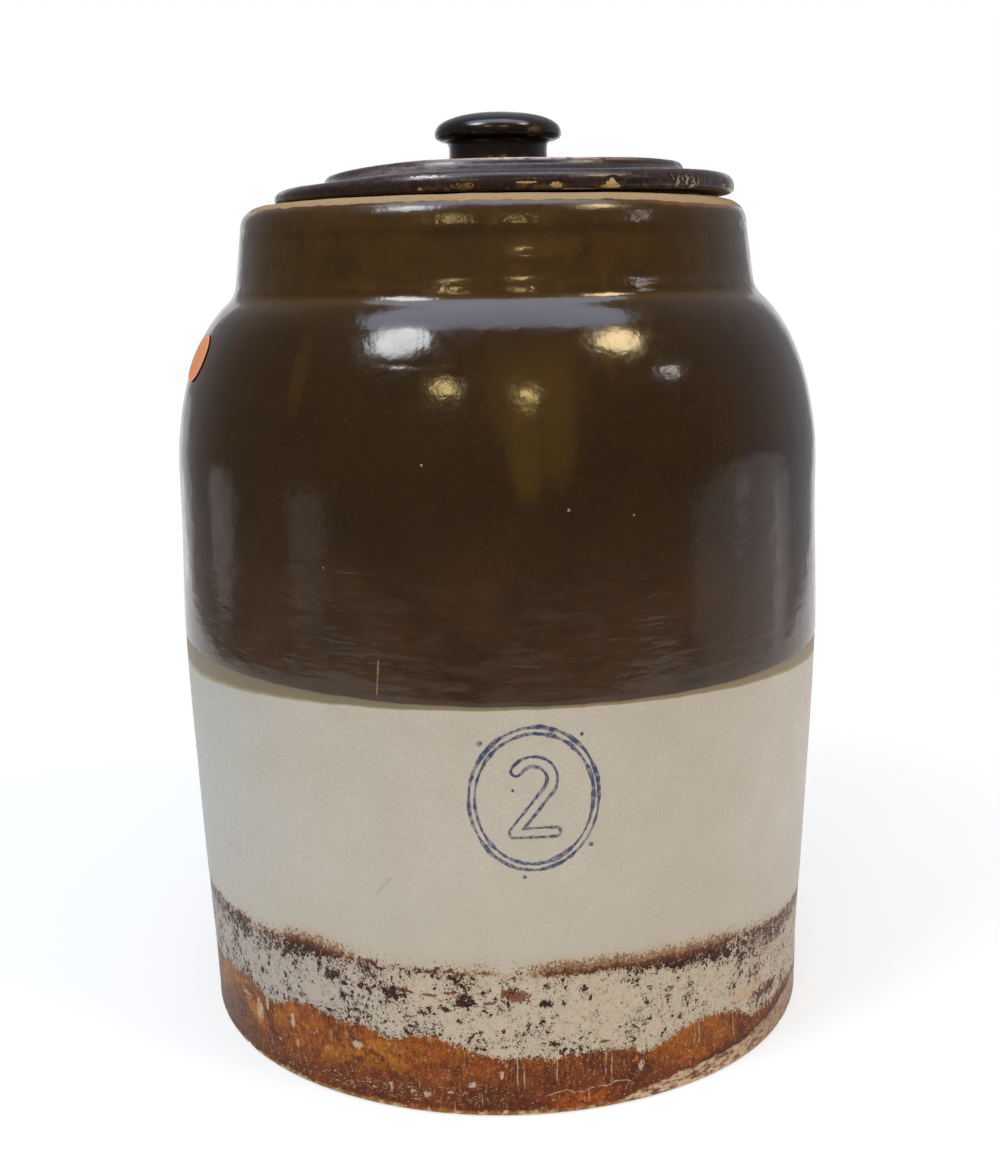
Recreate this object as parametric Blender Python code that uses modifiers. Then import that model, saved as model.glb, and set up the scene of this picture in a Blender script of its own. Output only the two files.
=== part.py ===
"""Two-gallon stoneware crock with a loose knobbed lid, dip glazed in brown over cream.

The body is one turned pot: a foot ring, a gently swelling side, a round shoulder and a thick upright neck.
The lid is a turned disc whose flange drops into the mouth, with a knob luted on top.
A round paper price sticker lies on the left of the shoulder.
Origin: middle of the foot ring, on the surface that the crock stands on. +Z is up and -Y is the front.
"""

import math

import bpy
from mathutils import Vector

# Overall sizes of the pot, in metres
BODY_HEIGHT = 0.2785
BELLY_RADIUS = 0.112
BELLY_HEIGHT = 0.129
FOOT_RADIUS = 0.1078
WALL = 0.0095
BASE_THICKNESS = 0.013

# Shoulder, neck and rim
SHOULDER_START = 0.189
SHOULDER_DRAW_IN = 0.0016
SHOULDER_WIDTH = 0.022
SHOULDER_UNDERCUT = 0.01
NECK_HEIGHT = 0.0295
NECK_TAPER = 0.0027
NECK_WALL = 0.0136
NECK_FILLET = 0.0035
THROAT_FILLET = 0.0036
RIM_WIDTH = 0.0152
RIM_CROWN_DROP = 0.0085

# Foot ring and the floor inside
FOOT_ROUND = 0.001
FOOT_RING_WIDTH = 0.012
FOOT_RECESS = 0.0012
FLOOR_CORNER = 0.014

# Lid disc
LID_OVERLAP = 0.007
SEAT_GAP = 0.0003
BRIM_THICKNESS = 0.0061
BRIM_RISE = 0.0009
STEP_SETBACK = 0.0168
STEP_RISE = 0.0035
FLANGE_CLEARANCE = 0.0045
FLANGE_REST_GAP = 0.0007
FLANGE_DEPTH = 0.009
FLANGE_WIDTH = 0.009
LID_HOLLOW = 0.0025

# Knob
KNOB_RADIUS = 0.0215
KNOB_CROWN = 0.0071
KNOB_LIP_DROP = 0.0022
KNOB_LIP_WIDTH = 0.0031
KNOB_NECK_RADIUS = 0.0167
KNOB_NECK_HEIGHT = 0.0092
KNOB_FLARE = 0.0028
KNOB_OFF_CENTRE = 0.0017

# Price sticker: how far round from the front it lies, and how far up the shoulder's round
STICKER_RADIUS = 0.0095
STICKER_THICKNESS = 0.0003
STICKER_ANGLE = math.radians(-71)
STICKER_CLIMB = math.radians(41)

# Heights of the glaze zones on the outside
FOOT_WASH_TOP = 0.022
GLAZE_LINE = 0.1343
BARE_RIM = 0.276

# How much of the rim's width its outer and inner roundings take
RIM_OUTER_SHARE = 0.52
RIM_INNER_SHARE = 0.2
# How far the brim's top and bottom roundings reach, of the brim's thickness
BRIM_TOP_SHARE = 0.62
BRIM_BOTTOM_SHARE = 0.24
# Rounding of the step's edge, of its rise, and of the flange's edges, of its width
STEP_ROUND_SHARE = 0.45
FLANGE_ROUND_SHARE = 0.25
# Bends of the side below the belly and of the knob's crown
SIDE_POWER = 1.3
CROWN_POWER = 2.4
# Degrees that the shoulder's inside and the brim's top rounding turn through
INSIDE_SHOULDER_TURN = 84
BRIM_TOP_TURN = 80

# Flats round each turned shape
POT_STEPS = 64
KNOB_STEPS = 40
STICKER_STEPS = 24

# Radii and heights that follow from the sizes above
SHOULDER_RADIUS = BELLY_RADIUS - SHOULDER_DRAW_IN
NECK_FOOT_RADIUS = SHOULDER_RADIUS - SHOULDER_WIDTH
NECK_TOP_RADIUS = NECK_FOOT_RADIUS - NECK_TAPER
MOUTH_RADIUS = NECK_TOP_RADIUS - RIM_WIDTH
NECK_FOOT_HEIGHT = BODY_HEIGHT - NECK_HEIGHT
SHOULDER_REACH = SHOULDER_WIDTH + SHOULDER_UNDERCUT
SHOULDER_CENTRE = SHOULDER_RADIUS - SHOULDER_REACH
SHOULDER_CUT = math.acos(SHOULDER_UNDERCUT / SHOULDER_REACH)
SHOULDER_RISE = (NECK_FOOT_HEIGHT - SHOULDER_START) / math.sin(SHOULDER_CUT)
LID_RADIUS = MOUTH_RADIUS + LID_OVERLAP
LID_SHIFT = FLANGE_CLEARANCE - FLANGE_REST_GAP
STEP_RADIUS = LID_RADIUS - STEP_SETBACK
LID_TOP = SEAT_GAP + BRIM_THICKNESS + BRIM_RISE + STEP_RISE

MERGE = 0.00005
SHARP_ANGLE = math.radians(40)


def clear_scene():
    """Removes whatever objects the open scene holds."""
    for obj in list(bpy.data.objects):
        bpy.data.objects.remove(obj)


def glaze(name, colour, roughness):
    """A plain Principled material of one colour."""
    material = bpy.data.materials.new(name)
    material.use_nodes = True
    shader = material.node_tree.nodes["Principled BSDF"]
    shader.inputs["Base Color"].default_value = (*colour, 1)
    shader.inputs["Roughness"].default_value = roughness
    shader.inputs["Metallic"].default_value = 0
    return material


def dipped_glaze(name, zones, roughness):
    """A Principled material whose colour steps with height; zones are (lower height, colour)."""
    material = glaze(name, zones[0][1], roughness)
    nodes, links = material.node_tree.nodes, material.node_tree.links
    place = nodes.new("ShaderNodeTexCoord")
    split = nodes.new("ShaderNodeSeparateXYZ")
    share = nodes.new("ShaderNodeMapRange")
    ramp = nodes.new("ShaderNodeValToRGB")
    share.inputs["From Max"].default_value = BODY_HEIGHT
    ramp.color_ramp.interpolation = "CONSTANT"
    stops = ramp.color_ramp.elements
    while len(stops) < len(zones):
        stops.new(0.5)
    for stop, (height, colour) in zip(stops, zones):
        stop.position = height / BODY_HEIGHT
        stop.color = (*colour, 1)
    links.new(place.outputs["Object"], split.inputs["Vector"])
    links.new(split.outputs["Z"], share.inputs["Value"])
    links.new(share.outputs["Result"], ramp.inputs["Fac"])
    links.new(ramp.outputs["Color"], nodes["Principled BSDF"].inputs["Base Color"])
    return material


def arc(centre, reach, start, end, steps, power=2):
    """Points on an ellipse, or a squarer superellipse, as (radius, height), between two angles."""
    points = []
    for i in range(steps + 1):
        angle = math.radians(start + (end - start) * i / steps)
        across, up = math.cos(angle), math.sin(angle)
        across = math.copysign(abs(across) ** (2 / power), across)
        up = math.copysign(abs(up) ** (2 / power), up)
        points.append((centre[0] + reach[0] * across, centre[1] + reach[1] * up))
    return points


def fillet(start, corner, end, steps=3):
    """Points on a smooth bend from start to end that is drawn towards corner, without its two ends."""
    points = []
    for i in range(1, steps + 1):
        t = i / (steps + 1)
        weights = ((1 - t) ** 2, 2 * t * (1 - t), t * t)
        points.append(tuple(
            sum(w * p[axis] for w, p in zip(weights, (start, corner, end))) for axis in (0, 1)
        ))
    return points


def side_radius(height):
    """Outer radius of the pot between its foot and the start of its shoulder."""
    if height < BELLY_HEIGHT:
        return BELLY_RADIUS - (BELLY_RADIUS - FOOT_RADIUS) * (1 - height / BELLY_HEIGHT) ** SIDE_POWER
    share = (height - BELLY_HEIGHT) / (SHOULDER_START - BELLY_HEIGHT)
    return BELLY_RADIUS - SHOULDER_DRAW_IN * (1 - math.cos(math.pi * share)) / 2


def shoulder_point(angle):
    """Point on the round outside of the shoulder; angle 0 is where it leaves the side."""
    return (SHOULDER_CENTRE + SHOULDER_REACH * math.cos(angle),
            SHOULDER_START + SHOULDER_RISE * math.sin(angle))


def side_heights(low, high, steps):
    """Heights evenly spaced along the side, from high down to low, without its two ends."""
    return [high + (low - high) * i / steps for i in range(1, steps)]


def pot_outside():
    """Outer profile from the crown of the rim down to the foot."""
    crown_width = RIM_WIDTH * RIM_OUTER_SHARE
    crown_foot = BODY_HEIGHT - RIM_CROWN_DROP
    crown = arc((NECK_TOP_RADIUS - crown_width, crown_foot), (crown_width, RIM_CROWN_DROP), 90, 0, 5)
    corner = (NECK_FOOT_RADIUS, NECK_FOOT_HEIGHT)
    above = (NECK_FOOT_RADIUS - NECK_TAPER * NECK_FILLET / NECK_HEIGHT, NECK_FOOT_HEIGHT + NECK_FILLET)
    cut = SHOULDER_CUT - NECK_FILLET / SHOULDER_REACH
    below = shoulder_point(cut)
    shoulder = arc((SHOULDER_CENTRE, SHOULDER_START), (SHOULDER_REACH, SHOULDER_RISE),
                   math.degrees(cut), 0, 8)
    heights = side_heights(BELLY_HEIGHT, SHOULDER_START, 3)
    heights += [BELLY_HEIGHT] + side_heights(FOOT_ROUND, BELLY_HEIGHT, 6)
    side = [(side_radius(h), h) for h in heights]
    foot_radius = side_radius(FOOT_ROUND)
    foot = arc((foot_radius - FOOT_ROUND, FOOT_ROUND), (FOOT_ROUND, FOOT_ROUND), 0, -90, 3)
    return crown + [above] + fillet(above, corner, below, 2) + shoulder + side + foot


def pot_underside():
    """Profile of the foot ring and the shallow recess inside it, running in to the axis."""
    ring = side_radius(FOOT_ROUND) - FOOT_ROUND - FOOT_RING_WIDTH
    return [(ring, 0), (ring - FOOT_RECESS, FOOT_RECESS), (0, FOOT_RECESS)]


def pot_inside():
    """Inner profile from the middle of the floor, up the wall and through the neck to the rim's crown."""
    wall_foot = BASE_THICKNESS + FLOOR_CORNER
    corner_radius = side_radius(wall_foot) - WALL
    floor = arc((corner_radius - FLOOR_CORNER, wall_foot), (FLOOR_CORNER, FLOOR_CORNER), -90, 0, 4)
    wall = [(side_radius(h) - WALL, h) for h in reversed(side_heights(wall_foot, SHOULDER_START, 6))]
    shoulder = arc((SHOULDER_CENTRE, SHOULDER_START), (SHOULDER_REACH - WALL, SHOULDER_RISE - WALL),
                   0, INSIDE_SHOULDER_TURN, 6)
    throat = NECK_FOOT_RADIUS - NECK_WALL
    ceiling = shoulder[-1][1]
    throat_top = (throat, ceiling + THROAT_FILLET)
    inner_round = RIM_WIDTH * RIM_INNER_SHARE
    lip = arc((MOUTH_RADIUS + inner_round, BODY_HEIGHT - inner_round), (inner_round, inner_round), 180, 90, 3)
    return ([(0, BASE_THICKNESS)] + floor + wall + shoulder
            + fillet(shoulder[-1], (throat, ceiling), throat_top) + [throat_top] + lip)


def lid_profile():
    """Profile of the lid disc, with heights counted from the top of the rim that it rests on."""
    flange_outer = MOUTH_RADIUS - FLANGE_CLEARANCE
    flange_inner = flange_outer - FLANGE_WIDTH
    edge = FLANGE_WIDTH * FLANGE_ROUND_SHARE
    ceiling = SEAT_GAP + LID_HOLLOW
    low = BRIM_THICKNESS * BRIM_BOTTOM_SHARE
    high = BRIM_THICKNESS * BRIM_TOP_SHARE
    brim_top = SEAT_GAP + BRIM_THICKNESS
    step_edge = STEP_RISE * STEP_ROUND_SHARE
    step_foot = brim_top + BRIM_RISE
    under = [(0, ceiling), (flange_inner - edge, ceiling)]
    under += fillet(under[-1], (flange_inner, ceiling), (flange_inner, ceiling - edge), 2)
    under += [(flange_inner, ceiling - edge)]
    under += arc((flange_inner + edge, edge - FLANGE_DEPTH), (edge, edge), 180, 270, 2)
    under += arc((flange_outer - edge, edge - FLANGE_DEPTH), (edge, edge), 270, 360, 2)
    under += [(flange_outer, SEAT_GAP)]
    brim = arc((LID_RADIUS - low, SEAT_GAP + low), (low, low), -90, 0, 2)
    brim += arc((LID_RADIUS - high, brim_top - high), (high, high), 0, BRIM_TOP_TURN, 4)
    step = [(STEP_RADIUS + step_edge, step_foot)]
    step += fillet(step[0], (STEP_RADIUS, step_foot), (STEP_RADIUS, step_foot + step_edge), 1)
    step += arc((STEP_RADIUS - step_edge, LID_TOP - step_edge), (step_edge, step_edge), 0, 90, 3)
    return list(reversed(under + brim + step + [(0, LID_TOP)]))


def knob_profile():
    """Profile of the knob, with heights counted from the lid's top that it is luted to."""
    lip_top = SEAT_GAP + KNOB_NECK_HEIGHT + KNOB_LIP_DROP
    crown = arc((0, lip_top), (KNOB_RADIUS, KNOB_CROWN), 90, 0, 9, CROWN_POWER)
    lip = arc((KNOB_RADIUS - KNOB_LIP_WIDTH, lip_top), (KNOB_LIP_WIDTH, KNOB_LIP_DROP), 0, -90, 3)
    waist = (KNOB_NECK_RADIUS, SEAT_GAP + KNOB_NECK_HEIGHT - KNOB_FLARE)
    flare_top = (KNOB_NECK_RADIUS, SEAT_GAP + KNOB_FLARE * 2)
    flare = (KNOB_NECK_RADIUS + KNOB_FLARE, SEAT_GAP)
    return (crown + lip[1:] + fillet(lip[-1], (waist[0], lip[-1][1]), waist, 2) + [waist, flare_top]
            + fillet(flare_top, (flare_top[0], flare[1]), flare, 2) + [flare, (0, flare[1])])


def turned(name, profile, steps, material, collection):
    """A solid of revolution: the profile as a line of edges, with a Screw modifier about Z."""
    mesh = bpy.data.meshes.new(name)
    edges = [(i, i + 1) for i in range(len(profile) - 1)]
    mesh.from_pydata([(radius, 0, height) for radius, height in profile], edges, [])
    obj = bpy.data.objects.new(name, mesh)
    collection.objects.link(obj)
    screw = obj.modifiers.new("turn", "SCREW")
    screw.axis = "Z"
    screw.steps = steps
    screw.render_steps = steps
    screw.use_merge_vertices = True
    screw.merge_threshold = MERGE
    screw.use_smooth_shade = True
    obj.data.materials.append(material)
    return obj


def smooth_turned(obj):
    """Swaps a turned object's profile for its turned mesh, shaded smooth but for its sharp edges."""
    evaluated = obj.evaluated_get(bpy.context.evaluated_depsgraph_get())
    mesh = bpy.data.meshes.new_from_object(evaluated)
    obj.modifiers.clear()
    obj.data = mesh
    mesh.shade_smooth()
    mesh.set_sharp_from_angle(angle=SHARP_ANGLE)
    return obj


def crock_body(collection):
    """The pot: one wall of clay from the foot ring to the rim, open at the mouth."""
    zones = (
        (0, (0.22, 0.075, 0.02)),
        (FOOT_WASH_TOP, (0.52, 0.44, 0.33)),
        (GLAZE_LINE, (0.045, 0.022, 0.01)),
        (BARE_RIM, (0.36, 0.25, 0.14)),
    )
    material = dipped_glaze("brown_and_cream_glaze", zones, 0.22)
    profile = pot_inside() + pot_outside()[1:] + pot_underside()
    return smooth_turned(turned("crock_body", profile, POT_STEPS, material, collection))


def lid_pieces(collection):
    """The lid disc and the knob on it, both carried by an empty on the line that the lid lifts along."""
    axis = bpy.data.objects.new("lid_lift_axis", None)
    collection.objects.link(axis)
    axis.location = (LID_SHIFT, 0, BODY_HEIGHT)
    disc_glaze = glaze("dark_lid_glaze", (0.032, 0.019, 0.017), 0.3)
    knob_glaze = glaze("black_knob_glaze", (0.012, 0.008, 0.007), 0.12)
    disc = smooth_turned(turned("lid_disc", lid_profile(), POT_STEPS, disc_glaze, collection))
    knob = smooth_turned(turned("lid_knob", knob_profile(), KNOB_STEPS, knob_glaze, collection))
    knob.location = (-KNOB_OFF_CENTRE, 0, LID_TOP)
    for piece in (disc, knob):
        piece.parent = axis


def price_sticker(body, collection):
    """A small paper disc that follows the round of the shoulder at a hair's width from the glaze."""
    radius, height = shoulder_point(STICKER_CLIMB)
    slope = math.atan2(SHOULDER_REACH * math.sin(STICKER_CLIMB), SHOULDER_RISE * math.cos(STICKER_CLIMB))
    across, along = math.sin(STICKER_ANGLE), -math.cos(STICKER_ANGLE)
    outward = Vector((across * math.cos(slope), along * math.cos(slope), math.sin(slope)))
    paper = glaze("orange_paper", (0.66, 0.27, 0.12), 0.8)
    rings = [(STICKER_RADIUS * i / 3, 0) for i in range(4)]
    obj = turned("price_sticker", rings, STICKER_STEPS, paper, collection)
    obj.location = (across * radius, along * radius, height)
    obj.rotation_euler = outward.to_track_quat("Z", "Y").to_euler()
    wrap = obj.modifiers.new("lie_on_shoulder", "SHRINKWRAP")
    wrap.target = body
    wrap.wrap_method = "NEAREST_SURFACEPOINT"
    wrap.wrap_mode = "ABOVE_SURFACE"
    wrap.offset = SEAT_GAP
    paper_sheet = obj.modifiers.new("paper", "SOLIDIFY")
    paper_sheet.thickness = STICKER_THICKNESS
    paper_sheet.offset = 1
    return obj


def main():
    clear_scene()
    collection = bpy.data.collections.new("stoneware_crock")
    bpy.context.scene.collection.children.link(collection)
    body = crock_body(collection)
    lid_pieces(collection)
    price_sticker(body, collection)


main()
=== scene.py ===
"""Looks of a two-gallon stoneware crock: brown slip over cream glaze, a worn rusty foot and a loose knobbed lid.

The pot, the lid and the knob are turned by Geometry Nodes from their profiles and take the CAD nodes' places.
Lengths are millimetres, and angles are degrees round the crock from its front, towards its right.
"""
import math

import bpy
from mathutils import Matrix, Vector


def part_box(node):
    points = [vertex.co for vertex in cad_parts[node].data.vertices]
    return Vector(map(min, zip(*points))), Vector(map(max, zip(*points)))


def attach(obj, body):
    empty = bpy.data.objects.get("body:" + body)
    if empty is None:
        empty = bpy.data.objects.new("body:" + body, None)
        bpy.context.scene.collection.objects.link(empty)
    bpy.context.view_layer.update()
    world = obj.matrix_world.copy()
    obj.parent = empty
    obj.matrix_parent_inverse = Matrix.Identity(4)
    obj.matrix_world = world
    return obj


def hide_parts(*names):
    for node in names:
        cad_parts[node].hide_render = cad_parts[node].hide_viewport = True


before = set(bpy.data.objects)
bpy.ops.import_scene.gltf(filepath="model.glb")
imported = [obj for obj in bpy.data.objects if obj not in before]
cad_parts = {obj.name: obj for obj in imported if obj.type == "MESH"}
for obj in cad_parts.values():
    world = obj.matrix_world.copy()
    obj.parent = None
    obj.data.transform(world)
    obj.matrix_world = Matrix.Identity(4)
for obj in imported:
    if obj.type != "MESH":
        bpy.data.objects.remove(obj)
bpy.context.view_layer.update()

METRE = 1000
POT_LOW, POT_HIGH = (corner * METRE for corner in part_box("crock_body"))
LID_LOW, LID_HIGH = (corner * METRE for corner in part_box("lid_disc"))
KNOB_LOW, KNOB_HIGH = (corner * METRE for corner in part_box("lid_knob"))

# The pot's turned profile; its belly and height come from the CAD model
BELLY_RADIUS = POT_HIGH.x
BODY_HEIGHT = POT_HIGH.z
BELLY_HEIGHT = 129
FOOT_RADIUS = 107.8
FOOT_ROUND = 1.6
FOOT_RING = 12
FOOT_RECESS = 1.2
SHOULDER_START = 189
SHOULDER_DRAW_IN = 1.6
SHOULDER_REACH = 32
SHOULDER_UNDERCUT = 10
NECK_HEIGHT = 29.5
NECK_TAPER = 2.7
NECK_FILLET = 4
RIM_WIDTH = 15.2
RIM_DROP = 8.5
RIM_INNER_ROUND = 3
WALL = 9.5
NECK_WALL = 13.6
FLOOR = 13
FLOOR_CORNER = 14
THROAT_FILLET = 3.6
CLAY_SHRINK = 0.25
MERGE = 0.02

# The lid and the knob, with heights counted from the rim's top and from the lid's top
LID_CENTRE = (LID_LOW.x + LID_HIGH.x) / 2
LID_RADIUS = (LID_HIGH.x - LID_LOW.x) / 2
SEAT_GAP = 0.3
BRIM_THICKNESS = 6.1
BRIM_RISE = 0.9
STEP_SETBACK = 16.8
STEP_RISE = 3.5
FLANGE_OUTER = 66
FLANGE_INNER = 57
FLANGE_DEPTH = 9
LID_HOLLOW = 2.5
LID_TOP = SEAT_GAP + BRIM_THICKNESS + BRIM_RISE + STEP_RISE
KNOB_CENTRE = (KNOB_LOW.x + KNOB_HIGH.x) / 2
KNOB_RADIUS = (KNOB_HIGH.x - KNOB_LOW.x) / 2
KNOB_CROWN = 7.1
KNOB_LIP = 3.1
KNOB_LIP_DROP = 2.2
KNOB_NECK_RADIUS = 16.7
KNOB_NECK_HEIGHT = 9.2
KNOB_FLARE = 2.8

# The paper sticker on the left of the shoulder
STICKER_RADIUS = 10
STICKER_ANGLE = -70
STICKER_CLIMB = 41.3
STICKER_LIFT = 0.3
STICKER_PAPER = 0.15


# Heights round the foot as (angle, height): the rusty line, the top of the wash, the strip rubbed bare
RUST_LINE = ((-180, 47), (-90, 46), (-65, 50), (-52, 50.5), (-44, 50), (-36, 52), (-28, 51.5), (-22, 50.5), (-3, 50.5),
             (6, 49.8), (14, 49.8), (22, 48.8), (30, 47.8), (38, 47), (48, 45), (60, 42.5), (90, 40), (180, 47))
WASH_LINE = ((-180, 16), (-90, 22), (-65, 24), (-55, 26.5), (-49, 26), (-45.5, 23), (-42, 26), (-36, 28.5), (-31, 28),
             (-29, 25.5), (-26, 27), (-19, 24.5), (-14.5, 27.5), (-10, 26), (-7, 23), (0, 20.8), (10, 20), (21, 20),
             (22.5, 17), (26, 17), (28, 20), (34, 22), (42, 20), (45, 17), (48, 13), (60, 14), (90, 10), (180, 16))
WORN_STRIP = ((-180, 0.1), (16, 0.1), (19, 2), (24, 4), (30, 6), (44, 6.8), (50, 8), (58, 10), (80, 12), (110, 0.1),
              (180, 0.1))
CRACK = ((5, 5.5), (7, 7.2), (9.5, 8.3), (11, 6.9), (12.5, 7.1), (14.5, 7.9), (16.5, 7.7), (18.5, 9), (20.5, 7.6), (23, 6))
# The rusty line's crowding, depth and ochre fringe, as (angle, amount)
LINE_CROWDING = ((-180, 0.4), (-75, 0.5), (-65, 0.65), (-60, 0.6), (-56, 0.7), (-52, 0.8), (-48.5, 0.35), (-45, 0.7),
                 (-41.5, 0.55), (-39, 0.9), (-28.5, 0.9), (-27, 0.35), (-24, 0.55), (-22, 0.65), (-18.5, 0.3),
                 (-15.5, 0.3), (-14, 0.8), (-11, 0.75), (-9.5, 0.4), (-8, 0.8), (-5.5, 0.3), (-3, 0.6), (0, 0.2),
                 (4, 0.3), (6, 0.85), (22, 0.85), (40, 0.95), (42, 0.6), (55, 0.75), (65, 0.7), (90, 0.4), (180, 0.4))
LINE_DEPTH = ((-180, 5), (-65, 8), (-52, 9), (-44, 8), (-38, 8), (-33, 5), (-28, 3.5), (-23, 10), (-18, 3), (-12, 2.4),
              (-8, 9), (-4, 2), (6, 2), (18, 2.6), (24, 4.4), (32, 6), (40, 7), (46, 12), (55, 11), (65, 8), (180, 5))
FRINGE = ((-180, 0.3), (-60, 0.15), (-43, 0.3), (-38, 0.75), (-29, 0.8), (-26, 0.35), (-17, 0.15), (-10, 0.3),
          (-3, 0.5), (0, 0.15), (3, 0.4), (7, 0.95), (24, 0.9), (39, 0.9), (43, 0.45), (54, 0.4), (70, 0.2), (180, 0.3))
# Where iron specks crowd on the pale band, as (angle, height, half angle, half height, crowding)
IRON_PATCHES = ((-62, 43, 4.5, 3.5, 0.55), (-47, 33.5, 1.6, 1.3, 0.7), (-38, 42, 1.6, 3.5, 0.6), (-28, 36, 0.9, 2.2, 0.9),
                (-30, 43, 4, 3.4, 0.62), (-23.5, 40.5, 2.4, 2, 0.7), (-18.6, 40.5, 3.2, 3.8, 0.78),
                (-16, 30, 0.8, 0.9, 0.9), (-10, 37, 0.9, 1.4, 0.7), (-6.8, 40, 1.9, 4, 0.85), (-5.5, 28, 0.9, 3, 0.4),
                (6.3, 38.5, 1.2, 2, 0.85), (5.7, 32, 0.9, 3, 0.55), (8, 24, 5, 2.6, 0.42), (1.5, 24.5, 3, 2, 0.35),
                (29.6, 38.5, 0.5, 1.8, 0.9), (24, 34, 1.2, 1.4, 0.45), (34, 26, 4.5, 1.3, 0.3), (44.5, 37, 1.9, 6, 0.7),
                (42.5, 29, 2.4, 6, 0.4), (49.5, 29, 4, 5, 0.5), (53, 18.5, 6, 3, 0.8), (60, 37, 6, 4, 0.6), (60, 27, 6, 5, 0.35))
# Smooth places on the pale band without specks
PALE_PATCHES = ((25.3, 24.5, 1.3, 3.2), (11.5, 36, 2.4, 3), (18.5, 36.5, 3.5, 4), (29.5, 33, 1, 6), (-1.5, 33, 1.5, 3),
                (-13, 39, 2.4, 1.2), (-34, 34, 3, 2.5))
# Red-brown patches, and pale chips and scratches in the wash, as (angle, height, half angle, half height)
RED_PATCHES = ((0.2, 42.6, 1.5, 1.9), (2, 41.6, 1.6, 2), (-12.6, 41.3, 1.4, 0.5), (-9.4, 42.4, 1.2, 0.5), (-17, 42, 1.3, 0.8), (-2.9, 39.4, 0.9, 0.6),
               (27.6, 34.2, 0.8, 0.6), (16, 23.3, 0.9, 0.6))
FOOT_CHIPS = ((-49.5, 16.8, 1, 4), (-47, 22, 0.4, 3), (-40, 20.5, 0.5, 2.6), (-39, 13, 0.35, 1.3), (-26, 19.6, 1.3, 1.2),
              (-43.5, 11.3, 0.5, 0.5), (-54, 20, 1, 0.7), (22.7, 12.4, 0.5, 1.8),
              (-20, 7, 0.4, 2), (-13.5, 6.4, 0.6, 1.1), (-9.6, 8, 0.6, 0.5), (-6, 11, 0.6, 1), (-1, 14.5, 0.3, 1.3))
FOOT_SCRATCHES = ((1.5, 16, 5), (2.6, 13, 3), (8, 17, 5.5), (16.3, 17, 5), (17.3, 14, 5), (33.4, 18, 4), (34.4, 17, 3.5),
                  (42.6, 19, 9), (13.4, 5, 2))
# Stray dots of ink about the capacity mark, as millimetres right of and above its middle, and size
INK_DOTS = ((-15.8, 17.6, 0.5), (16.9, -15.4, 0.4), (13.9, 19.4, 0.25), (-3.2, -24.4, 0.3), (-6.4, 3.1, 0.1))
# Marks in the brown slip: pale specks as (angle, height, half size), amber runs as (angle, tip, half angle, top, strength)
SLIP_SPECKS = ((-11.2, 203.6, 0.5), (20.4, 187.8, 0.45), (10.3, 190.4, 0.6), (-27.5, 173, 0.35))
AMBER_RUNS = ((4.3, 190.5, 2.8, 238, 0.17), (8.8, 194.5, 3, 238, 0.15), (5.4, 205, 7, 240, 0.13), (-33.5, 214, 1.7, 244, 0.07),
              (18.2, 226, 1.6, 238, 0.2))


# Creases across the shoulder, as (first angle, height there, rise per degree, last angle)
CREASES = ((-20.5, 231.3, -0.12, -2.4), (-17.5, 213.6, -0.17, 1), (-18.5, 199, -0.05, -13.5))

# Chips along the lid's lower edge, as (angle, height, half angle, half height)
LID_CHIPS = ((-18.9, 279.7, 0.5, 0.4), (4.3, 280.9, 2.2, 0.3), (11.1, 280.1, 1.35, 0.9), (23.8, 281.3, 0.7, 0.9),
             (23.8, 280.5, 1.5, 0.7), (23.8, 279.8, 2.5, 0.6), (16, 279.1, 3.6, 0.25), (47.5, 280.4, 0.7, 0.5), (64, 281.5, 0.5, 0.5))


def paint(red, green, blue):
    """A colour as it shows on a screen, 0 to 255, turned into the light that it stands for."""
    shares = [level / 255 for level in (red, green, blue)]
    return (*[s / 12.92 if s <= 0.04045 else ((s + 0.055) / 1.055) ** 2.4 for s in shares], 1)


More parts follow.
